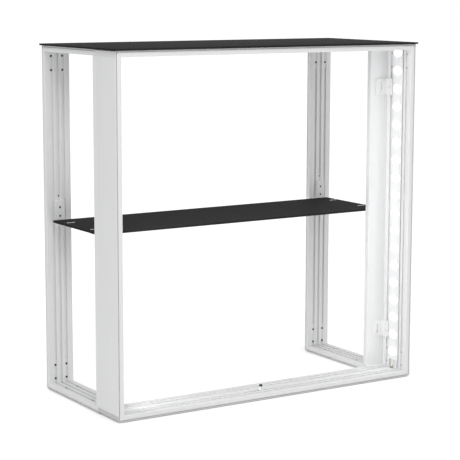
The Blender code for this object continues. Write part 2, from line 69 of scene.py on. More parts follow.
# Edges and outer corners of the profiles; the band at an upright's end has a length and a strength of painted shade
EDGE_EASE = 0.0007
LIP_EASE = 0.00045
INNER_EASE = 0.0002
MITRE_BREAK = 0.00012
EASE_STEPS = 3
BOTTOM_RADIUS = 0.007
TOP_RADIUS = 0.002
ROUND_STEPS = 8
LEAST_TURN = 0.0004
FLAT_RING = 0.0008
SHADE_BAND_LENGTH = 0.0165
# The painted shade is deeper at the foot, by the floor, than at the head, under the board
FOOT_SHADE = 0.9
HEAD_SHADE = 0.3

# Screws: radius, half width across the socket's flats, rise above the seat and depth below it
SET_SCREW = (0.0034, 0.0016, 0.0006, 0.002)
BRACKET_SCREW = (0.0032, 0.0014, 0.0002, 0.004)
STRIP_SCREW = (0.0022, 0.0011, 0.0004, 0.001)
CONNECTOR_SCREW = (0.0046, 0.0015, 0.0026, 0.001)
CONNECTOR_SCREW_DOME = 0.0008

# Shares in a screw's shape: its eased edge to its radius, and its socket's depth to the socket's width and to the rise
SCREW_SIDES = 24
SCREW_EASE = 0.12
SOCKET_DEPTH = 1.5
SOCKET_RISE = 0.7

# Places of the screws
UPRIGHT_SCREWS = (0.030, 0.070)
RAIL_SCREWS = {"front": 0.073, "left": 0.081, "right": 0.081}
BRACKET_SCREW_HEIGHTS = (0.0115, 0.0365)
BRACKET_PLATE = 0.0065
STRIP_SCREW_INSET = 0.006
CONNECTOR_LEG = 0.003
CONNECTOR_SLOT_REACH = 0.025
CONNECTOR_SLOT_DROP = 0.008

# Board
BOARD_CORNER = 0.004
BOARD_EASE = 0.0012
CORNER_STEPS = 8
SLAB_EASE_STEPS = 4

# Light bars; the dip in a lens and the glow round it are shares of the lens's radius
LED_COUNT = 18
LENS_LENGTH = 0.030
LENS_WIDTH = 0.019
LENS_RISE = 0.0048
LENS_DIP = 0.2
LENS_DIP_REACH = 0.3
LENS_BASE = 0.0012
LENS_BASE_CORNER = 0.002
LENS_BASE_EASE = 0.0003
LENS_RINGS = 12
LENS_FIRST_RING = 0.06
LENS_SIDES = 32
GLOW_FULL = 0.80
GLOW_GONE = 1.60
BAR_GLOW_DEPTH = 0.001
LENS_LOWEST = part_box("right_lens_strip")[0].z + LENS_WIDTH
LENS_PITCH = (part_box("right_lens_strip")[1].z - LENS_WIDTH / 2 - LENS_LOWEST) / (LED_COUNT - 1)
BAR_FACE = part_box("right_led_bar")[0].x
LENS_MIDDLE = (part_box("right_lens_strip")[0].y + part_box("right_lens_strip")[1].y) / 2

# Leads, grommets and power inlet
LEAD_RADIUS = 0.0016
LEAD_STATIONS = 24
LEAD_SIDES = 12
TURNED_SIDES = 32
GROMMET_BORE = 0.0019
GROMMET_EASES = (0.0008, 0.0012, 0.0002, 0.0002)
INLET_FLANGE = 0.0018
INLET_BARREL = 0.0048
INLET_BORE = 0.0033
INLET_BORE_DEPTH = 0.009
INLET_COLLAR = 0.0055
COLLAR_SHOULDER = 0.0004
COLLAR_FLOOR = 0.001
BARREL_EASES = (0.0001, 0.0003, 0.0005, 0.0005, 0.0002, 0.0001)
COLLAR_EASES = (0.0001, 0.0002, 0.0004, 0.0006, 0.0001, 0.0001, 0.0001, 0.0001)

# Finish of edges
SMOOTH_ANGLE = math.radians(40)
WELD_DISTANCE = 0.00001
SOLID_EASE = 0.0003
SOLID_EASE_STEPS = 2
SOLID_EDGE_ANGLE = math.radians(50)

# Soft boxes: place, target, size and power
KEY_LIGHT = ((0.3, -3.5, 2.3), (0, 0, 0.6), 1.6, 10.0)
HIGH_LIGHT = ((-1.2, -2.0, 3.4), (0, 0, 0.6), 1.6, 39.0)
RIM_LIGHT = ((2.05, 1.5, 1.15), (0.2, 0, 0.7), 0.7, 1.0)

# Other light
WORLD_LIGHT = 0.755
LEFT_BEAM = 1.05
RIGHT_BEAM = 0.35
BEAM_SPREAD = math.radians(100)
BEAM_GAP = 0.002
LENS_LIGHT = 3.0

# Floor, whose glow is dimmed within reach of what stands on it: a painted contact shadow
FLOOR_REACH = 30.0
FLOOR_DROP = 0.002
FLOOR_SHADE = 0.62
FLOOR_GLOW = 0.60
CONTACT_REACH = 0.12
CONTACT_SOFTNESS = 0.6
CONTACT_SAMPLES = 16

# Camera, found from the photograph's edges: focal length in pixels of a frame 460 pixels wide
PHOTO_WIDTH = 460
FOCAL_PIXELS = 1580.56
SENSOR_WIDTH = 36.0
CAMERA_PLACE = (-2.45890, -3.88019, 1.16972)
CAMERA_AZIMUTH = math.radians(-32.30462)
CAMERA_ELEVATION = math.radians(8.80448)
CAMERA_ROLL = math.radians(0.12143)


# Meshes

def grid_faces(rows, columns, closed_rows=False):
    """Quads between neighbouring points of rings kept row by row; closed rows join the last ring to the first."""
    i = np.arange(rows if closed_rows else rows - 1)[:, None]
    j = np.arange(columns)[None, :]
    next_i = (i + 1) % rows
    next_j = (j + 1) % columns
    quads = [i * columns + j, i * columns + next_j, next_i * columns + next_j, next_i * columns + j]
    return np.stack(np.broadcast_arrays(*quads), axis=-1).reshape(-1, 4)


def capped(rows, columns):
    """Faces of a tube of rings: its quads, and a flat cap on the first and on the last ring."""
    first = np.arange(columns)[::-1].tolist()
    last = (np.arange(columns) + (rows - 1) * columns).tolist()
    return grid_faces(rows, columns).tolist() + [first, last]


def repeated(points, faces, places):
    """Copies of a small shape: each place is a 4 x 4 matrix, and all points are multiplied by all places at once."""
    full = np.c_[points, np.ones(len(points))]
    moved = np.einsum("mij,pj->mpi", np.asarray(places, float), full)[..., :3].reshape(-1, 3)
    steps = np.arange(len(places)) * len(points)
    return moved, [[corner + step for corner in face] for step in steps.tolist() for face in faces]


def new_object(name, data):
    """Object of the scene, at the origin."""
    item = bpy.data.objects.new(name, data)
    bpy.context.scene.collection.objects.link(item)
    return item


def add_piece(name, points, faces, material, body, replaces=(), marks=None):
    """Object at the origin from points and faces, turned outwards, with any values kept at its points."""
    mesh = bpy.data.meshes.new(name)
    mesh.from_pydata(np.asarray(points, float).tolist(), [], [list(face) for face in faces])
    for label, values in (marks or {}).items():
        values = np.asarray(values, np.float32)
        kind, field = ("FLOAT_VECTOR", "vector") if values.ndim == 2 else ("FLOAT", "value")
        mesh.attributes.new(label, kind, "POINT").data.foreach_set(field, values.ravel())
    build = bmesh.new()
    build.from_mesh(mesh)
    bmesh.ops.recalc_face_normals(build, faces=build.faces)
    build.to_mesh(mesh)
    build.free()
    mesh.shade_smooth()
    mesh.set_sharp_from_angle(angle=SMOOTH_ANGLE)
    mesh.materials.append(material)
    item = new_object(name, mesh)
    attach(item, body)
    if replaces:
        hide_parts(*replaces)


# Shader nodes

FLOAT = "NodeSocketFloat"
VECTOR = "NodeSocketVector"

# Sockets of a colour mix, among those that the Mix node has for its other kinds
MIX_FACTOR, MIX_FIRST, MIX_SECOND, MIX_RESULT = 0, 6, 7, 2


class Nodes:
    """Short way to place and link the nodes of one tree."""

    def __init__(self, tree):
        self.tree = tree

    def add(self, kind, settings=None, **inputs):
        """Node of a kind, with its settings, and with its inputs set or linked by name."""
        node = self.tree.nodes.new(kind)
        for label, value in (settings or {}).items():
            setattr(node, label, value)
        for label, value in inputs.items():
            self.put(node.inputs[label.replace("_", " ")], value)
        return node

    def put(self, socket, value):
        """Sets a socket, or links it when the value is another socket."""
        if isinstance(value, bpy.types.NodeSocket):
            self.tree.links.new(value, socket)
        else:
            socket.default_value = value

    def math(self, operation, first, second=0.0, third=0.0):
        """Result of a Math node."""
        node = self.add("ShaderNodeMath", {"operation": operation})
        for socket, value in zip(node.inputs, (first, second, third)):
            self.put(socket, value)
        return node.outputs[0]

    def blend(self, factor, first, second):
        """Colour between two colours."""
        node = self.add("ShaderNodeMix", {"data_type": "RGBA"})
        self.put(node.inputs[MIX_FACTOR], factor)
        self.put(node.inputs[MIX_FIRST], first)
        self.put(node.inputs[MIX_SECOND], second)
        return node.outputs[MIX_RESULT]

    def tint(self, mask, share, first, second):
        """First colour, with a share of the second where the mask is full."""
        return self.blend(self.math("MULTIPLY", mask, share), first, second)

    def spread(self, value, low, high, to_low=0.0, to_high=1.0):
        """Value moved from one range to another, kept within it."""
        node = self.add("ShaderNodeMapRange", Value=value, From_Min=low, From_Max=high, To_Min=to_low, To_Max=to_high)
        return node.outputs[0]

    def noise(self, place, scale, detail=2.0, rough=0.5):
        """Noise value at a place."""
        node = self.add("ShaderNodeTexNoise", Vector=place, Scale=scale, Detail=detail, Roughness=rough)
        return node.outputs["Fac"]

    def stretched(self, place, scale):
        """Place with each direction scaled by its own number."""
        node = self.add("ShaderNodeMapping", {"vector_type": "POINT"}, Vector=place, Scale=scale)
        return node.outputs[0]

    def group(self, tree, **inputs):
        """Outputs of a node group."""
        return self.add("ShaderNodeGroup", {"node_tree": tree}, **inputs).outputs

    def mark(self, name, output="Fac"):
        """Value that is kept at the piece's points."""
        return self.add("ShaderNodeAttribute", {"attribute_name": name}).outputs[output]

    def object_place(self):
        """Place on the object, in metres."""
        return self.add("ShaderNodeTexCoord").outputs["Object"]


def new_group(name, inputs, outputs):
    """Shader node group with named inputs and outputs, and nothing yet between them."""
    group = bpy.data.node_groups.new(name, "ShaderNodeTree")
    for way, sockets in (("INPUT", inputs), ("OUTPUT", outputs)):
        for label, kind in sockets.items():
            group.interface.new_socket(name=label, in_out=way, socket_type=kind)
    nodes = Nodes(group)
    return group, nodes, nodes.add("NodeGroupInput"), nodes.add("NodeGroupOutput")


def drawn_lines_group():
    """Lines that drawing metal through a die leaves: noise stretched far along the first direction of its place."""
    group, nodes, source, result = new_group(
        "drawn_lines", {"Place": VECTOR, "Fineness": FLOAT}, {"Lines": FLOAT, "Bands": FLOAT})
    fine = nodes.stretched(source.outputs["Place"], (0.006, 1.0, 1.0))
    broad = nodes.stretched(source.outputs["Place"], (1.5, 60.0, 60.0))
    nodes.put(result.inputs["Lines"], nodes.noise(fine, source.outputs["Fineness"], 3.0, 0.6))
    nodes.put(result.inputs["Bands"], nodes.noise(broad, 1.0))
    return group


def handling_group():
    """Faint cloudy smears and fine specks that handling leaves on any surface."""
    group, nodes, source, result = new_group("handling", {"Place": VECTOR}, {"Smears": FLOAT, "Specks": FLOAT})
    smears = nodes.noise(source.outputs["Place"], 7.0, 5.0, 0.62)
    specks = nodes.noise(source.outputs["Place"], 420.0)
    nodes.put(result.inputs["Smears"], nodes.spread(smears, 0.35, 0.7))
    nodes.put(result.inputs["Specks"], nodes.spread(specks, 0.66, 0.74))
    return group


def chip_glow_group():
    """Light round each chip of a bar: full within a lens, and gone some way beyond; Far is one at a lens's rim."""
    group, nodes, source, result = new_group("chip_glow", {"Place": VECTOR}, {"Glow": FLOAT, "Far": FLOAT})
    split = nodes.add("ShaderNodeSeparateXYZ", Vector=source.outputs["Place"])
    along = nodes.math("SUBTRACT", split.outputs["Z"], LENS_LOWEST - LENS_PITCH / 2)
    along = nodes.math("SUBTRACT", nodes.math("MODULO", along, LENS_PITCH), LENS_PITCH / 2)
    aside = nodes.math("SUBTRACT", split.outputs["Y"], LENS_MIDDLE)
    along = nodes.math("POWER", nodes.math("DIVIDE", along, LENS_WIDTH / 2), 2.0)
    aside = nodes.math("POWER", nodes.math("DIVIDE", aside, LENS_LENGTH / 2), 2.0)
    far = nodes.math("SQRT", nodes.math("ADD", along, aside))
    nodes.put(result.inputs["Glow"], nodes.math("POWER", nodes.spread(far, GLOW_GONE, GLOW_FULL), 2.0))
    nodes.put(result.inputs["Far"], far)
    return group


DRAWN_LINES = drawn_lines_group()
HANDLING = handling_group()
CHIP_GLOW = chip_glow_group()


def new_material(name, **constants):
    """Material with one Principled shader; constants go on the shader's own sockets."""
    material = bpy.data.materials.new(name)
    material.use_nodes = True
    nodes = Nodes(material.node_tree)
    shader = material.node_tree.nodes["Principled BSDF"]
    for label, value in constants.items():
        shader.inputs[label.replace("_", " ")].default_value = value
    return material, nodes, shader


def grey(value, warmth=0.0):
    """Neutral colour of a linear value, a little warmer or cooler."""
    return (value * (1 + warmth), value, value * (1 - warmth), 1.0)


def bump(nodes, shader, height, strength, distance):
    """Small relief on the shader's normal."""
    node = nodes.add("ShaderNodeBump", Height=height, Strength=strength, Distance=distance)
    nodes.put(shader.inputs["Normal"], node.outputs[0])


def satin_aluminium():
    """Natural anodised extrusion: pale, with die lines along each bar.

    Its eased outer edges are lighter, wear with a painted highlight. Its grooves and slots are painted lighter as a
    painted fill against their shade. The bands at the uprights' ends are darker, painted shade that is deepest at the
    feet.
    """
    material, nodes, shader = new_material("satin_aluminium", Metallic=0.25, IOR=1.45)
    lines = nodes.group(DRAWN_LINES, Place=nodes.mark("straight", "Vector"), Fineness=1400.0)
    touched = nodes.group(HANDLING, Place=nodes.object_place())
    colour = nodes.blend(lines["Bands"], grey(0.835, -0.004), grey(0.870, -0.002))
    colour = nodes.blend(nodes.spread(lines["Lines"], 0.3, 0.7, 0.0, 0.22), colour, grey(0.76))
    # Lighter middle of each eased outer edge: wear with a painted highlight
    colour = nodes.tint(nodes.mark("edge"), 0.6, colour, grey(0.93))
    # Grooves and slots painted lighter: a painted fill light against the shade in them
    colour = nodes.tint(nodes.mark("recess_fill_light"), 0.3, colour, grey(0.96))
    # Darker band on the outer face at each upright's end: painted shade, deeper at the foot than under the board
    colour = nodes.blend(nodes.mark("end_shade_band"), colour, grey(0.60))
    colour = nodes.tint(touched["Specks"], 0.12, colour, grey(0.55))
    nodes.put(shader.inputs["Base Color"], colour)
    rough = nodes.spread(lines["Lines"], 0.25, 0.75, 0.40, 0.54)
    nodes.put(shader.inputs["Roughness"], nodes.math("MULTIPLY_ADD", touched["Smears"], 0.05, rough))
    bump(nodes, shader, lines["Lines"], 0.12, 0.00015)
    return material


def plated_steel(name, shade, rough_low, rough_high, metallic):
    """Plated steel with a fine crystalline mottle and faint smears."""
    material, nodes, shader = new_material(name, Metallic=metallic)
    place = nodes.object_place()
    crystals = nodes.add("ShaderNodeTexVoronoi", {"feature": "F1"}, Vector=place, Scale=520.0)
    touched = nodes.group(HANDLING, Place=place)
    mottle = nodes.spread(crystals.outputs["Distance"], 0.1, 0.7)
    colour = nodes.blend(mottle, grey(shade, -0.01), grey(shade * 0.86, -0.006))
    colour = nodes.tint(touched["Smears"], 0.15, colour, grey(shade * 0.7))
    nodes.put(shader.inputs["Base Color"], colour)
    nodes.put(shader.inputs["Roughness"], nodes.spread(mottle, 0.0, 1.0, rough_low, rough_high))
    bump(nodes, shader, mottle, 0.08, 0.0001)
    return material


def coated_steel():
    """Pale satin coating with the soft unevenness of baked powder."""
    material, nodes, shader = new_material("coated_steel", Metallic=0.1)
    place = nodes.object_place()
    peel = nodes.noise(place, 900.0, 2.0, 0.45)
    touched = nodes.group(HANDLING, Place=place)
    colour = nodes.blend(nodes.spread(peel, 0.3, 0.7), grey(0.83), grey(0.87))
    colour = nodes.tint(touched["Specks"], 0.2, colour, grey(0.5))
    nodes.put(shader.inputs["Base Color"], colour)
    nodes.put(shader.inputs["Roughness"], nodes.spread(touched["Smears"], 0.0, 1.0, 0.42, 0.54))
    bump(nodes, shader, peel, 0.15, 0.0002)
    return material


def dark_laminate():
    """Matt charcoal laminate: a pebbled skin with faint lighter specks and wiped smears."""
    material, nodes, shader = new_material("dark_laminate", Metallic=0.0, IOR=1.4, Specular_IOR_Level=0.04)
    place = nodes.object_place()
    pebble = nodes.noise(place, 650.0, 3.0, 0.6)
    touched = nodes.group(HANDLING, Place=place)
    colour = nodes.blend(nodes.spread(pebble, 0.3, 0.7), grey(0.020), grey(0.028))
    colour = nodes.tint(touched["Smears"], 0.25, colour, grey(0.034))
    colour = nodes.tint(touched["Specks"], 0.35, colour, grey(0.08))
    nodes.put(shader.inputs["Base Color"], colour)
    nodes.put(shader.inputs["Roughness"], nodes.spread(pebble, 0.2, 0.8, 0.62, 0.78))
    bump(nodes, shader, pebble, 0.2, 0.0002)
    return material


def white_carrier():
    """White lacquered light bar with a fine grain and faint lines along it; its chips' light is painted on as emission.
    """
    material, nodes, shader = new_material("white_carrier", Metallic=0.0, Emission_Strength=1.0)
    place = nodes.object_place()
    upright = nodes.add("ShaderNodeVectorRotate", {"rotation_type": "Y_AXIS"}, Vector=place, Angle=math.pi / 2)
    lines = nodes.group(DRAWN_LINES, Place=upright.outputs[0], Fineness=700.0)
    touched = nodes.group(HANDLING, Place=place)
    colour = nodes.blend(lines["Lines"], grey(0.84), grey(0.90))
    colour = nodes.tint(touched["Specks"], 0.15, colour, grey(0.6))
    nodes.put(shader.inputs["Base Color"], colour)
    nodes.put(shader.inputs["Roughness"], nodes.spread(lines["Lines"], 0.2, 0.8, 0.38, 0.5))
    # Painted light round each chip on the bar's face, where the lens's light falls
    chips = nodes.group(CHIP_GLOW, Place=place)
    depth = nodes.math("ABSOLUTE", nodes.add("ShaderNodeSeparateXYZ", Vector=place).outputs["X"])
    face = nodes.spread(depth, BAR_FACE + BAR_GLOW_DEPTH, BAR_FACE)
    glow = nodes.math("MULTIPLY", chips["Glow"], face)
    # Faint painted glow on the bar's sides, fainter on its face between the chips
    side_glow = nodes.blend(face, grey(0.14), grey(0.05))
    nodes.put(shader.inputs["Emission Color"], nodes.blend(glow, side_glow, grey(1.0)))
    bump(nodes, shader, lines["Lines"], 0.06, 0.0001)
    return material


def lit_lens():
    """Clear moulded lens lit from inside: brightest over the chip, with fine prism rings."""
    material, nodes, shader = new_material("lit_lens", Metallic=0.0, Roughness=0.15, Emission_Strength=LENS_LIGHT)
    chips = nodes.group(CHIP_GLOW, Place=nodes.object_place())
    rings = nodes.math("SINE", nodes.math("MULTIPLY", chips["Far"], 40.0))
    light = nodes.blend(chips["Glow"], grey(0.015), grey(1.0, -0.01))
    light = nodes.blend(nodes.spread(rings, -1.0, 1.0, 0.0, 0.08), light, grey(0.0))
    nodes.put(shader.inputs["Emission Color"], light)
    nodes.put(shader.inputs["Base Color"], nodes.blend(chips["Glow"], grey(0.86, -0.01), grey(0.92, -0.01)))
    return material


def wire_insulation():
    """Pale yellow insulation, a little dusty and uneven along its length."""
    material, nodes, shader = new_material("wire_insulation", Metallic=0.0)
    uneven = nodes.noise(nodes.object_place(), 240.0, 3.0)
    nodes.put(shader.inputs["Base Color"], nodes.blend(uneven, (0.88, 0.85, 0.72, 1.0), (0.92, 0.90, 0.80, 1.0)))
    nodes.put(shader.inputs["Roughness"], nodes.spread(uneven, 0.3, 0.7, 0.4, 0.6))
    bump(nodes, shader, uneven, 0.1, 0.0002)
    return material


def black_moulding(name, shade, rough_low, rough_high):
    """Dark moulded plastic, rubber or blackened steel with a spark-eroded grain."""
    material, nodes, shader = new_material(name, Metallic=0.0)
    place = nodes.object_place()
    grain = nodes.noise(place, 1600.0)
    touched = nodes.group(HANDLING, Place=place)
    colour = nodes.blend(grain, grey(shade), grey(shade * 1.9))
    colour = nodes.tint(touched["Smears"], 0.2, colour, grey(shade * 3))
    nodes.put(shader.inputs["Base Color"], colour)
    nodes.put(shader.inputs["Roughness"], nodes.spread(grain, 0.2, 0.8, rough_low, rough_high))
    bump(nodes, shader, grain, 0.2, 0.0001)
    return material


ALUMINIUM = satin_aluminium()
ZINC = plated_steel("zinc_plate", 0.86, 0.34, 0.5, 0.45)
COATED = coated_steel()
LAMINATE = dark_laminate()
CARRIER = white_carrier()
LENS = lit_lens()
INSULATION = wire_insulation()
RUBBER = black_moulding("black_rubber", 0.012, 0.5, 0.7)
GREY_RUBBER = black_moulding("grey_rubber", 0.08, 0.5, 0.7)
BLACK_STEEL = black_moulding("blackened_steel", 0.010, 0.35, 0.55)
DULL_PLATE = plated_steel("dull_plate", 0.52, 0.4, 0.55, 0.3)


# Profiles

def profile_corners(half, grooves, slotted):
    """Corners (across, up) of a profile's section, the radius each is eased by, and whether it is an outer edge."""
    rows = [(half, 0, EDGE_EASE, 1)]
    if slotted:
        floor = half - SLOT_DEPTH
        far = SLOT_LIP + SLOT_WIDTH
        rows += [(half, SLOT_LIP, LIP_EASE, 1), (floor, SLOT_LIP, INNER_EASE, 0)]
        rows += [(floor, far, INNER_EASE, 0), (half, far, LIP_EASE, 1)]
    rows.append((half, THICKNESS, EDGE_EASE, 1))
    mirrored = [(-across, up, ease, outer) for across, up, ease, outer in reversed(rows)]
    mouth, wide = GROOVE_MOUTH / 2, GROOVE_WIDTH / 2
    under = THICKNESS - GROOVE_LIP
    floor = under - GROOVE_DEPTH
    side = [(mouth, THICKNESS, LIP_EASE, 1), (mouth, under, LIP_EASE, 0)]
    side += [(wide, under, INNER_EASE, 0), (wide, floor, INNER_EASE, 0)]
    groove = side + [(-across, up, ease, outer) for across, up, ease, outer in reversed(side)]
    for centre in grooves:
        rows += [(centre + across, up, ease, outer) for across, up, ease, outer in groove]
    table = np.array(rows + mirrored)
    return table[:, :2], table[:, 2], table[:, 3]


def eased(corners, radii):
    """Outline with every corner eased by an arc that touches both of its sides.

    An arc's middle lies on the line that halves the corner, at radius / sin(half angle), and its points turn evenly
    from one touching point to the other.
    """
    before = np.roll(corners, 1, axis=0) - corners
    after = np.roll(corners, -1, axis=0) - corners
    before /= np.linalg.norm(before, axis=1, keepdims=True)
    after /= np.linalg.norm(after, axis=1, keepdims=True)
    half = np.arccos(np.clip((before * after).sum(1), -1, 1)) / 2
    halving = (before + after) / np.linalg.norm(before + after, axis=1, keepdims=True)
    middle = corners + halving * (radii / np.sin(half))[:, None]
    touch = (radii / np.tan(half))[:, None]
    start = corners + before * touch - middle
    end = corners + after * touch - middle
    turn = (np.pi - 2 * half)[:, None, None]
    share = np.linspace(0, 1, EASE_STEPS + 1)[None, :, None]
    arcs = (np.sin((1 - share) * turn) * start[:, None] + np.sin(share * turn) * end[:, None]) / np.sin(turn)
    return (middle[:, None] + arcs).reshape(-1, 2)


def bar_end(outline, length, radius):
    """Rings of a bar's end towards +x: the outer corner rounded up to the mitre, then the mitre's edge broken.

    A section point (across, up) turns about the corner's middle with bend = max(radius - up, 0), so the slots follow
    the rounding: at turn a it stands on x = length / 2 - gap - max(up, radius) + bend sin a and
    z = max(up, radius) - bend cos a. Points deeper than the radius turn sharply, their rings a hair apart.
    Rings before the bend keep the long faces flat, and the first two stand where the band at the bar's end starts.
    The last ring lies on the mitre, drawn in by the break.
    """
    reach = length / 2 - FIT_GAP / math.sqrt(2)
    half_corner = math.sin(math.pi / 4)
    turn = np.linspace(0, math.pi / 4, ROUND_STEPS + 1)[:, None]
    across, up = outline.T[:, None, :]
    bend = np.maximum(radius - up, 0)
    apart = LEAST_TURN * (half_corner - np.sin(turn))
    x = reach - MITRE_BREAK - np.maximum(up, radius) + bend * np.sin(turn) - apart
    z = np.maximum(up, radius) - bend * np.cos(turn)
    rings = np.stack(np.broadcast_arrays(x, across, z), -1)
    flat = rings[:1] - np.array([FLAT_RING, 0, 0])
    band = flat - np.array([FLAT_RING, 0, 0])
    band[..., 0] = np.minimum(band[..., 0], reach - SHADE_BAND_LENGTH)
    plain = band - np.array([FLAT_RING, 0, 0])
    way = np.roll(outline, -1, axis=0) - np.roll(outline, 1, axis=0)
    inward = np.c_[-way[:, 1], way[:, 0]] / np.linalg.norm(way, axis=1, keepdims=True)
    across, up = (outline + MITRE_BREAK * inward).T
    bend = half_corner * np.maximum(radius - up, 0)
    last = np.stack([reach - np.maximum(up, radius) + bend, across, np.maximum(up, radius) - bend], -1)
    return np.concatenate([plain, band, flat, rings, last[None]])


def bar_surface(length, half, grooves, slotted, radii, bands):
    """Bar along x with its outer face on z = 0: a section drawn straight between two mitred ends.

    The end towards -x is the other one's mirror image. The place along the bar and the section's own point are kept
    for the die lines, with how far a point carries wear with a painted highlight on an eased edge, whether it lies in
    a groove or slot that is painted lighter against its shade, and how much painted shade it takes on the band at
    each end of the outer face.
    """
    corners, eases, outer = profile_corners(half, grooves, slotted)
    outline = eased(corners, eases)
    first = bar_end(outline, length, radii[0])[::-1] * np.array([-1, 1, 1])
    points = np.concatenate([first, bar_end(outline, length, radii[1])])
    flat = np.broadcast_to(outline, points.shape[:2] + (2,))
    straight = np.concatenate([points[..., :1], flat], -1).reshape(-1, 3)
    arc_middle = np.minimum(np.arange(EASE_STEPS + 1), EASE_STEPS - np.arange(EASE_STEPS + 1)) > 0
    # Middles of the eased outer edges, for wear with a painted highlight
    edge_highlight_wear = np.tile(np.outer(outer, arc_middle).ravel(), len(points))
    recess_fill_light = np.tile(np.repeat(1 - outer, EASE_STEPS + 1), len(points))
    in_band = np.arange(len(first)) > 0
    on_face = outline[:, 1] < SLOT_LIP / 2
    band = np.outer(np.r_[bands[0] * in_band[::-1], bands[1] * in_band], on_face).ravel()
    marks = {"straight": straight, "edge": edge_highlight_wear, "recess_fill_light": recess_fill_light, "end_shade_band": band}
    return points.reshape(-1, 3), capped(*points.shape[:2]), marks


def placed(points, matrix):
    """Points carried by a 4 x 4 matrix."""
    full = np.c_[points, np.ones(len(points))]
    return (full @ np.asarray(matrix).T)[:, :3]


def turned(degrees, axis):
    """Rotation by an angle in degrees about a named axis."""
    return Matrix.Rotation(math.radians(degrees), 4, axis)


def frame_carriers():
    """The three frames: name, middle on the floor, turn about z, outer width, depth, grooves and upright names."""
    front_middle = Vector(((LEFT + RIGHT) / 2, FRONT + FRONT_DEPTH / 2, 0))
    side_middle = (NEAR + REAR) / 2
    inset = SIDE_DEPTH / 2
    return (
        ("front", front_middle, 0, RIGHT - LEFT, FRONT_DEPTH, FRONT_GROOVES, ("left", "right")),
        ("left", Vector((LEFT + inset, side_middle, 0)), 90, REAR - NEAR, SIDE_DEPTH, SIDE_GROOVES, ("near", "rear")),
        ("right", Vector((RIGHT - inset, side_middle, 0)), 90, REAR - NEAR, SIDE_DEPTH, SIDE_GROOVES, ("near", "rear")),
    )


def frame_bars():
    """Twelve mitred bars with eased edges, in the places of the plain ones."""
    for name, middle, angle, width, depth, grooves, (low, high) in frame_carriers():
        carrier = Matrix.Translation(middle) @ turned(angle, "Z")
        bottom, top = (BOTTOM_RADIUS, 0), (TOP_RADIUS, 0)
        foot, head = (BOTTOM_RADIUS, FOOT_SHADE), (TOP_RADIUS, HEAD_SHADE)
        across = width / 2
        places = {
            "bottom_rail": (width, (bottom, bottom), Matrix.Identity(4)),
            "top_rail": (width, (top, top), Matrix.Translation((0, 0, TOP)) @ turned(180, "Y")),
            low + "_upright": (TOP, (head, foot), Matrix.Translation((-across, 0, TOP / 2)) @ turned(90, "Y")),
            high + "_upright": (TOP, (foot, head), Matrix.Translation((across, 0, TOP / 2)) @ turned(-90, "Y")),
        }
        for label, (length, ends, place) in places.items():
            slotted = label != "near_upright"
            points, faces, marks = bar_surface(length, depth / 2, grooves, slotted, *zip(*ends))
            node = f"{name}_{label}"
            add_piece(node + "_profile", placed(points, carrier @ place), faces, ALUMINIUM, "frame",
                      (node,), marks=marks)


# Fasteners

def socket_screw(radius, socket, rise, seat, dome=0.0):
    """Screw end with a hexagon socket, along z from -seat to rise; the socket ends above what the screw sits in.

    The rings run from the seat up the wall, round its eased edge, over the dome and down the socket to its point.
    Each ring's radius is plain for a circle, and divided by cos of the angle from the nearest flat for a hexagon.
    """
    angle = np.arange(SCREW_SIDES) * 2 * np.pi / SCREW_SIDES
    flat = (angle + np.pi / 6) % (np.pi / 3) - np.pi / 6
    ease = SCREW_EASE * radius
    deep = min(SOCKET_DEPTH * socket, SOCKET_RISE * rise)
    rings = [
        (radius, 0, -seat),
        (radius, 0, rise - dome - ease),
        (radius - 0.3 * ease, 0, rise - dome - 0.3 * ease),
        (radius - ease, 0, rise - dome),
        (0.5 * (radius + socket), 0, rise - 0.25 * dome),
        (1.12 * socket, 1, rise),
        (socket, 1, rise - min(ease, 0.3 * deep)),
        (socket, 1, rise - deep),
        (0.4 * socket, 0, rise - 1.25 * deep),
    ]
    table = np.array(rings)
    shape = np.where(table[:, 1:2] > 0, 1 / np.cos(flat), 1.0) * table[:, :1]
    height = np.broadcast_to(table[:, 2:3], shape.shape)
    points = np.stack([shape * np.cos(angle), shape * np.sin(angle), height], -1).reshape(-1, 3)
    return points, capped(len(rings), SCREW_SIDES)


def add_screws(name, places, screw, material, body, dome=0.0):
    """One piece of like screws, one at each place."""
    points, faces = repeated(*socket_screw(*screw, dome), places)
    add_piece(name, points, faces, material, body)


def set_screws():
    """Set screws that clamp the corner brackets in the outer grooves of the three frames."""
    face = THICKNESS - GROOVE_LIP - FIT_GAP
    for name, middle, angle, width, _, grooves, _ in frame_carriers():
        carrier = Matrix.Translation(middle) @ turned(angle, "Z")
        places = []
        for across in (grooves[0], grooves[-1]):
            for end in UPRIGHT_SCREWS:
                for z in (end, TOP - end):
                    places.append(carrier @ Matrix.Translation((face - width / 2, across, z)) @ turned(90, "Y"))
                    places.append(carrier @ Matrix.Translation((width / 2 - face, across, z)) @ turned(-90, "Y"))
            for x in (RAIL_SCREWS[name] - width / 2, width / 2 - RAIL_SCREWS[name]):
                places.append(carrier @ Matrix.Translation((x, across, face)))
                places.append(carrier @ Matrix.Translation((x, across, TOP - face)) @ turned(180, "Y"))
        finish = DULL_PLATE if name == "front" else BLACK_STEEL
        add_screws(name + "_set_screws", places, SET_SCREW, finish, "frame")


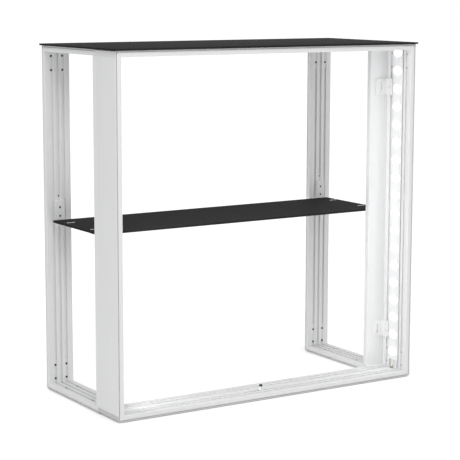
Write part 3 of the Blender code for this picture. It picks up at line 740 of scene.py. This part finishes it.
def shelf_bracket_screws():
    """Two flush screws in the plate of each shelf bracket, and one in the end of the nut strip behind it."""
    places = []
    strip_places = []
    for side in ("left", "right"):
        for row, facing in (("near", -90), ("rear", 90)):
            low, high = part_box(f"{side}_{row}_shelf_bracket")
            y = low.y + BRACKET_PLATE if row == "near" else high.y - BRACKET_PLATE
            for height in BRACKET_SCREW_HEIGHTS:
                spot = Matrix.Translation(((low.x + high.x) / 2, y, SHELF_TOP + height))
                places.append(spot @ turned(facing, "X"))
            low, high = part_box(f"{side}_{row}_nut_strip")
            y = high.y if row == "near" else low.y
            spot = Matrix.Translation(((low.x + high.x) / 2, y, high.z - STRIP_SCREW_INSET))
            strip_places.append(spot @ turned(facing, "X"))
    add_screws("shelf_bracket_screws", places, BRACKET_SCREW, BLACK_STEEL, "shelf_brackets")
    add_screws("nut_strip_screws", strip_places, STRIP_SCREW, BLACK_STEEL, "shelf_brackets")


def connector_screws():
    """A pan-head screw in each leg of the angle connectors."""
    places = []
    for side, inward in (("left", 1), ("right", -1)):
        for level in ("lower", "upper"):
            low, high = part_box(f"{side}_{level}_connector")
            z = (low.z + high.z) / 2
            heel = low.x if inward > 0 else high.x
            slot = Vector((heel + inward * CONNECTOR_SLOT_REACH, high.y - CONNECTOR_LEG, z - CONNECTOR_SLOT_DROP))
            hole = Vector((heel + inward * CONNECTOR_LEG, FRONT + FRONT_DEPTH / 2 + FRONT_GROOVES[0], z))
            places.append(Matrix.Translation(slot) @ turned(90, "X"))
            places.append(Matrix.Translation(hole) @ turned(90 * inward, "Y"))
    add_screws("connector_screws", places, CONNECTOR_SCREW, ZINC, "frame", CONNECTOR_SCREW_DOME)


# Boards

def slab_surface(low, high, corner, ease):
    """Flat board with round corners and eased edges: an edge profile carried round a rounded rectangle.

    A profile point at inset d and height z lies on the rectangle whose corner radius is the corner's less d, about
    the same four corner middles.
    """
    rise = np.linspace(0, np.pi / 2, SLAB_EASE_STEPS + 1)
    inset = ease * (1 - np.cos(rise))
    height = high[2] - ease * (1 - np.sin(rise))
    under = low[2] + ease * (1 - np.sin(rise))
    rings = np.r_[np.c_[inset[::-1], height[::-1]], np.c_[inset, under]]
    quarter = np.linspace(0, np.pi / 2, CORNER_STEPS + 1)
    angle = (quarter[None, :] + np.arange(4)[:, None] * np.pi / 2).ravel()
    sides = np.repeat([(1, 1), (-1, 1), (-1, -1), (1, -1)], CORNER_STEPS + 1, axis=0)
    middle = (np.asarray(low[:2]) + np.asarray(high[:2])) / 2
    half = (np.asarray(high[:2]) - np.asarray(low[:2])) / 2 - corner
    centres = middle + sides * half
    way = np.c_[np.cos(angle), np.sin(angle)]
    flat = centres[None] + (corner - rings[:, :1, None]) * way[None]
    points = np.concatenate([flat, np.broadcast_to(rings[:, 1:2, None], flat.shape[:2] + (1,))], -1)
    return points.reshape(-1, 3), capped(len(rings), len(angle))


def top_board():
    """Dark board on top, with its edges eased."""
    low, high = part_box("top_board")
    points, faces = slab_surface(low, high, BOARD_CORNER, BOARD_EASE)
    add_piece("counter_board", points, faces, LAMINATE, "top_board", ("top_board",))


# Light bars

def lens_dome():
    """Oval lens on x = 0, y and z across it, rising along +x.

    At a share r of its radius the height is rise x sqrt(1 - r^4), with a shallow dip in its middle.
    """
    share = np.sin(np.linspace(LENS_FIRST_RING, np.pi / 2, LENS_RINGS))[:, None]
    angle = (np.arange(LENS_SIDES) * 2 * np.pi / LENS_SIDES)[None, :]
    dip = LENS_DIP * np.exp(-(share / LENS_DIP_REACH) ** 2)
    height = LENS_RISE * np.sqrt(np.clip(1 - share ** 4, 0, 1)) * (1 - dip)
    y = share * LENS_LENGTH / 2 * np.cos(angle)
    z = share * LENS_WIDTH / 2 * np.sin(angle)
    x = np.broadcast_to(height, y.shape)
    return np.stack([x, y, z], -1).reshape(-1, 3), capped(LENS_RINGS, LENS_SIDES)


def lens_strips():
    """Moulded strip on each light bar: a thin base with eased edges and a lit lens over every chip."""
    heights = LENS_LOWEST + LENS_PITCH * np.arange(LED_COUNT)
    for side, inward in (("left", 1), ("right", -1)):
        low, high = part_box(side + "_lens_strip")
        seat = low.x if inward > 0 else high.x
        base, base_faces = slab_surface(
            (low.z, low.y, 0), (high.z, high.y, LENS_BASE), LENS_BASE_CORNER, LENS_BASE_EASE)
        spots = [Matrix.Translation((LENS_BASE, LENS_MIDDLE, z)) for z in heights]
        lenses, lens_faces = repeated(*lens_dome(), spots)
        points = np.concatenate([base[:, [2, 1, 0]], lenses])
        faces = list(base_faces) + [[corner + len(base) for corner in face] for face in lens_faces]
        points = points * np.array([inward, 1, 1]) + np.array([seat, 0, 0])
        add_piece(side + "_lenses", points, faces, LENS, "frame", (side + "_lens_strip",))


# Leads, grommets and power inlet

def turned_surface(corners, eases, middle, ring=False):
    """Shape turned about an upright axis: a profile of radius and height, its corners eased, carried round a circle.

    A ring joins the profile's end to its start; any other profile starts and ends on the axis and is capped there.
    """
    profile = eased(np.array(corners, float), np.array(eases, float))
    if not ring:
        profile = profile[EASE_STEPS + 1:-EASE_STEPS - 1]
    angle = np.arange(TURNED_SIDES) * 2 * np.pi / TURNED_SIDES
    radius, height = profile.T[:, :, None]
    points = np.stack(np.broadcast_arrays(radius * np.cos(angle), radius * np.sin(angle), height), -1)
    size = (len(profile), TURNED_SIDES)
    faces = grid_faces(*size, closed_rows=True) if ring else capped(*size)
    return points.reshape(-1, 3) + np.asarray(middle), faces


def lead_surface(start, end):
    """Lead in a slow S from start to end: a circle carried along x = x0 + dx (1 - cos pi s) / 2, z = z0 + dz s.

    The circle stands square to the way (dx pi sin(pi s) / 2, 0, dz).
    """
    share = np.linspace(0, 1, LEAD_STATIONS)
    none = np.zeros(LEAD_STATIONS)
    dx, dz = end[0] - start[0], end[2] - start[2]
    middle = np.stack([start[0] + dx * (1 - np.cos(np.pi * share)) / 2, none + start[1], start[2] + dz * share], -1)
    way = np.stack([dx * np.pi * np.sin(np.pi * share) / 2, none, none + dz], -1)
    way /= np.linalg.norm(way, axis=1, keepdims=True)
    square = np.stack([way[:, 2], none, -way[:, 0]], -1)
    angle = (np.arange(LEAD_SIDES) * 2 * np.pi / LEAD_SIDES)[None, :, None]
    round_way = np.cos(angle) * square[:, None] + np.sin(angle) * np.array([0, 1, 0])
    return (middle[:, None] + LEAD_RADIUS * round_way).reshape(-1, 3), capped(LEAD_STATIONS, LEAD_SIDES)


def leads():
    """Round leads from the light bars down into rounded grommets."""
    for side, inward in (("left", 1), ("right", -1)):
        low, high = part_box(side + "_led_lead")
        y = (low.y + high.y) / 2
        ends = (low.x + LEAD_RADIUS, high.x - LEAD_RADIUS)
        top, bottom = ends if inward > 0 else ends[::-1]
        points, faces = lead_surface((top, y, high.z), (bottom, y, low.z))
        add_piece(side + "_lead", points, faces, INSULATION, "frame", (side + "_led_lead",))
        low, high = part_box(side + "_lead_grommet")
        outer = (high.x - low.x) / 2
        height = high.z - low.z
        corners = [(GROMMET_BORE, height), (outer, height), (outer, 0), (GROMMET_BORE, 0)]
        middle = ((low.x + high.x) / 2, (low.y + high.y) / 2, low.z)
        points, faces = turned_surface(corners, GROMMET_EASES, middle, ring=True)
        add_piece(side + "_grommet", points, faces, GREY_RUBBER, "frame", (side + "_lead_grommet",))


def power_inlet():
    """Plated socket on the bottom rail, with a dark collar round its mouth that lines its bore."""
    low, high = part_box("power_inlet")
    middle = ((low.x + high.x) / 2, (low.y + high.y) / 2, low.z)
    flange = (high.x - low.x) / 2
    height = high.z - low.z
    seam = height - INLET_COLLAR
    corners = [(0, seam), (INLET_BARREL, seam), (INLET_BARREL, INLET_FLANGE), (flange, INLET_FLANGE), (flange, 0),
               (0, 0)]
    points, faces = turned_surface(corners, BARREL_EASES, middle)
    add_piece("inlet_barrel", points, faces, ZINC, "frame", ("power_inlet",))
    floor = height - INLET_BORE_DEPTH
    below = floor - COLLAR_FLOOR
    wall = INLET_BARREL - COLLAR_SHOULDER
    corners = [(0, floor), (INLET_BORE, floor), (INLET_BORE, height), (INLET_BARREL, height), (INLET_BARREL, seam),
               (wall, seam), (wall, below), (0, below)]
    points, faces = turned_surface(corners, COLLAR_EASES, middle)
    add_piece("inlet_collar", points, faces, RUBBER, "frame")


# Finishes of the solids that stay

def finish_solids():
    """Gives each solid that stays its finish, with its points joined and its edges eased."""
    finishes = {
        "_bracket_a": ZINC, "_bracket_b": ZINC, "_nut_strip": ZINC, "_connector": COATED, "_shelf_bracket": COATED,
        "shelf": LAMINATE, "_led_bar": CARRIER,
    }
    for name, item in NODES.items():
        if item.hide_render:
            continue
        material = next(finish for ending, finish in finishes.items() if name.endswith(ending))
        for slot in item.material_slots:
            slot.material = material
        weld = item.modifiers.new("joined", "WELD")
        weld.merge_threshold = WELD_DISTANCE
        ease = item.modifiers.new("eased", "BEVEL")
        ease.width = SOLID_EASE
        ease.segments = SOLID_EASE_STEPS
        ease.limit_method = "ANGLE"
        ease.angle_limit = SOLID_EDGE_ANGLE


frame_bars()
set_screws()
shelf_bracket_screws()
connector_screws()
top_board()
lens_strips()
leads()
power_inlet()
finish_solids()


# Stage, light and camera

def stage_floor():
    """Wide pale floor, white where nothing shades it, with a painted contact shadow close to what stands on it."""
    corners = [(-1, -1), (1, -1), (1, 1), (-1, 1)]
    mesh = bpy.data.meshes.new("floor")
    mesh.from_pydata([(x * FLOOR_REACH, y * FLOOR_REACH, -FLOOR_DROP) for x, y in corners], [], [(0, 1, 2, 3)])
    item = new_object("floor", mesh)
    material = bpy.data.materials.new("pale_floor")
    material.use_nodes = True
    nodes = Nodes(material.node_tree)
    output = material.node_tree.nodes["Material Output"]
    material.node_tree.nodes.remove(material.node_tree.nodes["Principled BSDF"])
    matt = nodes.add("ShaderNodeBsdfDiffuse", Color=grey(FLOOR_SHADE))
    path = nodes.add("ShaderNodeLightPath")
    seen = nodes.math("MAXIMUM", path.outputs["Is Camera Ray"], path.outputs["Is Glossy Ray"])
    seen = nodes.math("MAXIMUM", seen, path.outputs["Is Transmission Ray"])
    # Occlusion dims the floor's glow near the counter: a painted contact shadow
    near = nodes.add("ShaderNodeAmbientOcclusion", {"samples": CONTACT_SAMPLES}, Distance=CONTACT_REACH)
    open_sky = nodes.math("POWER", near.outputs["AO"], CONTACT_SOFTNESS)
    strength = nodes.math("MULTIPLY", nodes.math("MULTIPLY", seen, FLOOR_GLOW), open_sky)
    glow = nodes.add("ShaderNodeEmission", Color=grey(1.0), Strength=strength)
    both = nodes.add("ShaderNodeAddShader")
    nodes.put(both.inputs[0], matt.outputs[0])
    nodes.put(both.inputs[1], glow.outputs[0])
    nodes.put(output.inputs["Surface"], both.outputs[0])
    mesh.materials.append(material)


def studio_world():
    """Even surround: full white where the camera sees it, a plain level where it lights."""
    world = bpy.data.worlds.new("studio")
    bpy.context.scene.world = world
    world.use_nodes = True
    nodes = Nodes(world.node_tree)
    path = nodes.add("ShaderNodeLightPath")
    seen = nodes.math("MAXIMUM", path.outputs["Is Camera Ray"], path.outputs["Is Transmission Ray"])
    background = world.node_tree.nodes["Background"]
    background.inputs["Color"].default_value = grey(1.0)
    nodes.put(background.inputs["Strength"], nodes.spread(seen, 0.0, 1.0, WORLD_LIGHT, 1.0))


def soft_light(name, place, target, size, power):
    """Square soft box that looks at a target."""
    lamp = bpy.data.lights.new(name, "AREA")
    lamp.size = size
    lamp.energy = power
    item = new_object(name, lamp)
    item.location = place
    item.rotation_euler = (Vector(target) - Vector(place)).to_track_quat("-Z", "Y").to_euler()


def bar_lamp(side, inward, power):
    """Narrow lamp over the lenses of a light bar, for their beam across the frame."""
    low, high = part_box(side + "_lens_strip")
    lamp = bpy.data.lights.new(side + "_beam", "AREA")
    lamp.shape = "RECTANGLE"
    lamp.size = LENS_LENGTH
    lamp.size_y = high.z - low.z
    lamp.energy = power
    lamp.spread = BEAM_SPREAD
    tip = high.x if inward > 0 else low.x
    axes = Matrix(((0, -inward, 0), (0, 0, 1), (-inward, 0, 0))).transposed().to_4x4()
    item = new_object(side + "_beam", lamp)
    item.matrix_world = Matrix.Translation((tip + inward * BEAM_GAP, LENS_MIDDLE, (low.z + high.z) / 2)) @ axes
    item.visible_camera = False


def studio_camera():
    """Camera at the photograph's place: its axes come from azimuth, elevation and roll."""
    flat = math.cos(CAMERA_ELEVATION)
    back = Vector((math.sin(CAMERA_AZIMUTH) * flat, -math.cos(CAMERA_AZIMUTH) * flat, math.sin(CAMERA_ELEVATION)))
    level = Vector((math.cos(CAMERA_AZIMUTH), math.sin(CAMERA_AZIMUTH), 0))
    upward = back.cross(level)
    right = math.cos(CAMERA_ROLL) * level + math.sin(CAMERA_ROLL) * upward
    up = back.cross(right)
    data = bpy.data.cameras.new("camera")
    data.sensor_width = SENSOR_WIDTH
    data.lens = FOCAL_PIXELS * SENSOR_WIDTH / PHOTO_WIDTH
    axes = Matrix((right, up, back)).transposed().to_4x4()
    item = new_object("camera", data)
    item.matrix_world = Matrix.Translation(CAMERA_PLACE) @ axes
    bpy.context.scene.camera = item


stage_floor()
studio_world()
soft_light("key", *KEY_LIGHT)
soft_light("high", *HIGH_LIGHT)
soft_light("rim", *RIM_LIGHT)
bar_lamp("left", 1, LEFT_BEAM)
bar_lamp("right", -1, RIGHT_BEAM)
studio_camera()
bpy.context.scene.view_settings.view_transform = "Standard"
